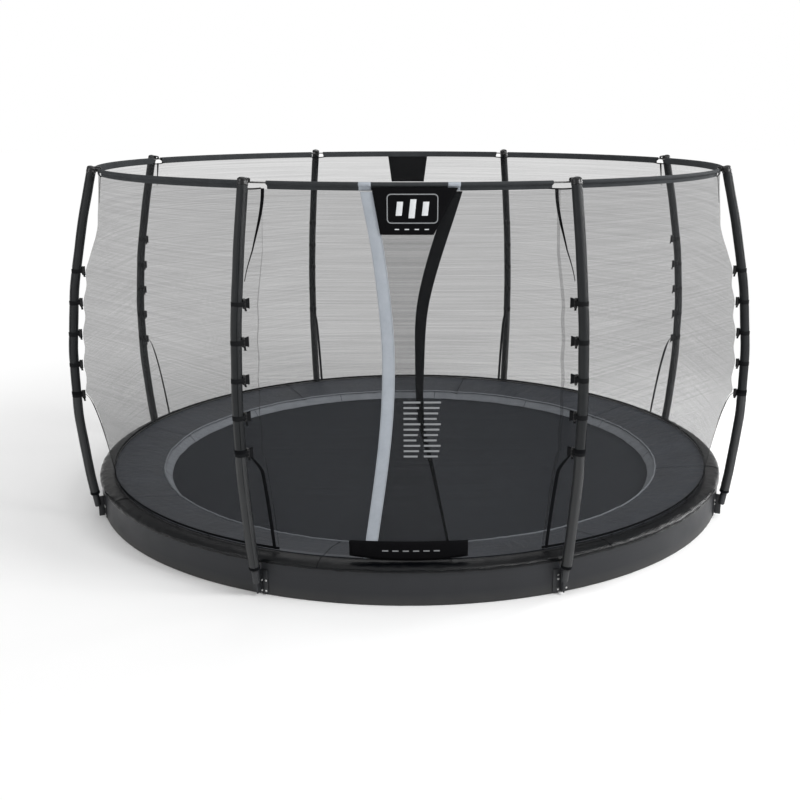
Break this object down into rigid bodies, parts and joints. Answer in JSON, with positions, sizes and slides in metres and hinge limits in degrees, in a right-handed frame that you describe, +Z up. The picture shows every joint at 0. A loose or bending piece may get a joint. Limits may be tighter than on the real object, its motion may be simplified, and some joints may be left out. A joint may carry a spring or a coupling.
{
  "type": "trampoline",
  "caption": "Round in-ground trampoline: curved retaining wall, sprung jumping mat, padded surround, and a net enclosure with an overlapping entrance held by outward-bowed padded poles.",
  "frame": {"origin": "centre of the ring at the foot of the retaining wall", "axes": "+Z up along the ring's axis; the entrance faces -Y; +X to the right of someone who faces the entrance"},
  "size_m": [4.29, 4.29, 2.2325],
  "materials": {
    "galvanised_steel": "satin",
    "wall_sheet": "satin",
    "bracket_steel": "satin",
    "spring_steel": "satin",
    "sleeve_cover": "satin",
    "cap_plastic": "satin",
    "rod_fibreglass": "satin",
    "woven_mat": "matte",
    "webbing": "matte",
    "pad_vinyl": "gloss",
    "mesh_cloth": "matte",
    "door_cloth": "matte"
  },
  "bodies": {
    "frame": {"frame_rail_1": "galvanised_steel", "frame_rail_2": "galvanised_steel", "frame_rail_3": "galvanised_steel", "frame_rail_4": "galvanised_steel", "frame_rail_5": "galvanised_steel", "frame_rail_6": "galvanised_steel", "frame_rail_7": "galvanised_steel", "frame_rail_8": "galvanised_steel", "wall_panel_1": "wall_sheet", "wall_panel_2": "wall_sheet", "wall_panel_3": "wall_sheet", "wall_panel_4": "wall_sheet", "wall_panel_5": "wall_sheet", "wall_panel_6": "wall_sheet", "wall_panel_7": "wall_sheet", "wall_panel_8": "wall_sheet", "pole_1": "galvanised_steel", "pole_2": "galvanised_steel", "pole_3": "galvanised_steel", "pole_4": "galvanised_steel", "pole_5": "galvanised_steel", "pole_6": "galvanised_steel", "pole_7": "galvanised_steel", "pole_8": "galvanised_steel", "pole_sleeve_1": "sleeve_cover", "pole_sleeve_2": "sleeve_cover", "pole_sleeve_3": "sleeve_cover", "pole_sleeve_4": "sleeve_cover", "pole_sleeve_5": "sleeve_cover", "pole_sleeve_6": "sleeve_cover", "pole_sleeve_7": "sleeve_cover", "pole_sleeve_8": "sleeve_cover", "pole_cap_1": "cap_plastic", "pole_cap_2": "cap_plastic", "pole_cap_3": "cap_plastic", "pole_cap_4": "cap_plastic", "pole_cap_5": "cap_plastic", "pole_cap_6": "cap_plastic", "pole_cap_7": "cap_plastic", "pole_cap_8": "cap_plastic", "pole_bracket_1": "bracket_steel", "pole_bracket_2": "bracket_steel", "pole_bracket_3": "bracket_steel", "pole_bracket_4": "bracket_steel", "pole_bracket_5": "bracket_steel", "pole_bracket_6": "bracket_steel", "pole_bracket_7": "bracket_steel", "pole_bracket_8": "bracket_steel", "spring_bank_1": "spring_steel", "spring_bank_2": "spring_steel", "spring_bank_3": "spring_steel", "spring_bank_4": "spring_steel", "safety_pad": "pad_vinyl", "safety_net": "mesh_cloth", "top_ring": "rod_fibreglass"},
    "mat": {"jumping_mat": "woven_mat", "mat_edge_band": "webbing"},
    "outer_flap": {"outer_flap": "mesh_cloth", "door_panel": "door_cloth"},
    "inner_flap": {"inner_flap": "mesh_cloth"}
  },
  "joints": [
    {"name": "mat_bounce", "type": "slide", "parent": "frame", "child": "mat", "axis": [0, 0, 1], "range_m": [-0.11, 0], "stiffness_N_per_m": 5000, "springref_m": 0.012, "deforming": ["spring_bank_1", "spring_bank_2", "spring_bank_3", "spring_bank_4"]},
    {"name": "outer_flap_swing", "type": "hinge", "parent": "frame", "child": "outer_flap", "pos_m": [0.76861, -2.04147, 0.2303], "axis": [0, 0, 1], "range_deg": [0, 40], "stiffness_Nm_per_rad": 4},
    {"name": "inner_flap_swing", "type": "hinge", "parent": "frame", "child": "inner_flap", "pos_m": [-0.69985, -1.86298, 0.2303], "axis": [0, 0, 1], "range_deg": [0, 40], "stiffness_Nm_per_rad": 4}
  ]
}
